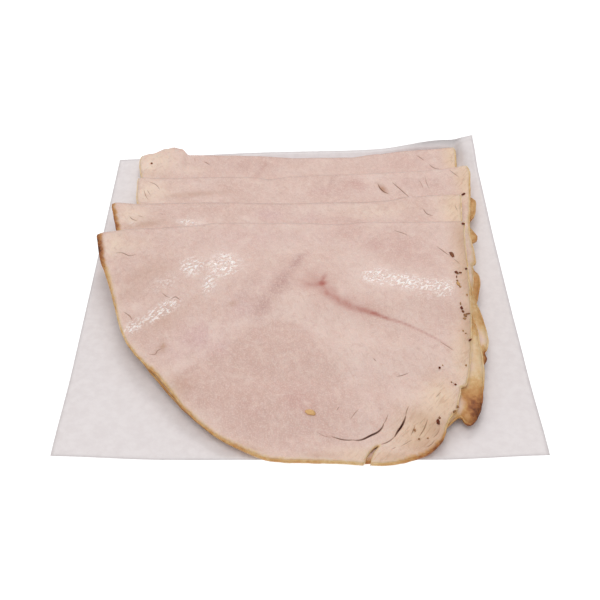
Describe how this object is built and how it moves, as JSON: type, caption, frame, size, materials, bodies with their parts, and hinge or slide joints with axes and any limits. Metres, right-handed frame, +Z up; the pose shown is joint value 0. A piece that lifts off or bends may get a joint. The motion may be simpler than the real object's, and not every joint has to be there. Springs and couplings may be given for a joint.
{
  "type": "folded deli meat slices on paper",
  "caption": "Round slices of roast poultry, each folded in half and shingled back to front on a square sheet of white deli paper.",
  "frame": {"origin": "middle of the paper's underside, where it rests", "axes": "+Z up, square to the paper; -Y towards the front, where the round edges of the folded slices point; the folds run along X"},
  "size_m": [0.1524, 0.1565, 0.0159],
  "materials": {
    "deli_paper": "lightly waxed white",
    "poultry_meat": "moist cut surface",
    "browned_skin": "roasted and slightly glossy",
    "cracked_pepper": "rough",
    "skin_crumb": "matte"
  },
  "bodies": {
    "paper": {"deli_paper": "deli_paper"},
    "slice_1_lower": {"slice_1_lower_half": "poultry_meat", "slice_1_lower_skin": "browned_skin", "slice_1_fold": "poultry_meat"},
    "slice_1_upper": {"slice_1_upper_half": "poultry_meat", "slice_1_upper_skin": "browned_skin"},
    "slice_2_lower": {"slice_2_lower_half": "poultry_meat", "slice_2_lower_skin": "browned_skin", "slice_2_fold": "poultry_meat"},
    "slice_2_upper": {"slice_2_upper_half": "poultry_meat", "slice_2_upper_skin": "browned_skin"},
    "slice_3_lower": {"slice_3_lower_half": "poultry_meat", "slice_3_lower_skin": "browned_skin", "slice_3_fold": "poultry_meat"},
    "slice_3_upper": {"slice_3_upper_half": "poultry_meat", "slice_3_upper_skin": "browned_skin"},
    "slice_4_lower": {"slice_4_lower_half": "poultry_meat", "slice_4_lower_skin": "browned_skin", "slice_4_fold": "poultry_meat"},
    "slice_4_upper": {"slice_4_upper_half": "poultry_meat", "slice_4_upper_skin": "browned_skin", "pepper_flakes": "cracked_pepper", "skin_crumb": "skin_crumb"}
  },
  "joints": [
    {"name": "slice_1_lift", "type": "slide", "parent": "paper", "child": "slice_1_lower", "axis": [0, 0, 1], "range_m": [0, 0.04]},
    {"name": "slice_1_unfold", "type": "hinge", "parent": "slice_1_lower", "child": "slice_1_upper", "pos_m": [0, 0.0735, 0.0024], "axis": [-1, 0, 0], "range_deg": [0, 20], "deforming": ["slice_1_fold"]},
    {"name": "slice_2_lift", "type": "slide", "parent": "slice_1_upper", "child": "slice_2_lower", "axis": [0, 0, 1], "range_m": [0, 0.04]},
    {"name": "slice_2_unfold", "type": "hinge", "parent": "slice_2_lower", "child": "slice_2_upper", "pos_m": [0, 0.054, 0.0062], "axis": [-1, 0, 0], "range_deg": [0, 20], "deforming": ["slice_2_fold"]},
    {"name": "slice_3_lift", "type": "slide", "parent": "slice_2_upper", "child": "slice_3_lower", "axis": [0, 0, 1], "range_m": [0, 0.04]},
    {"name": "slice_3_unfold", "type": "hinge", "parent": "slice_3_lower", "child": "slice_3_upper", "pos_m": [0, 0.0345, 0.01], "axis": [-1, 0, 0], "range_deg": [0, 20], "deforming": ["slice_3_fold"]},
    {"name": "slice_4_lift", "type": "slide", "parent": "slice_3_upper", "child": "slice_4_lower", "axis": [0, 0, 1], "range_m": [0, 0.04]},
    {"name": "slice_4_unfold", "type": "hinge", "parent": "slice_4_lower", "child": "slice_4_upper", "pos_m": [0, 0.015, 0.0138], "axis": [-1, 0, 0], "range_deg": [0, 170], "deforming": ["slice_4_fold"]}
  ]
}
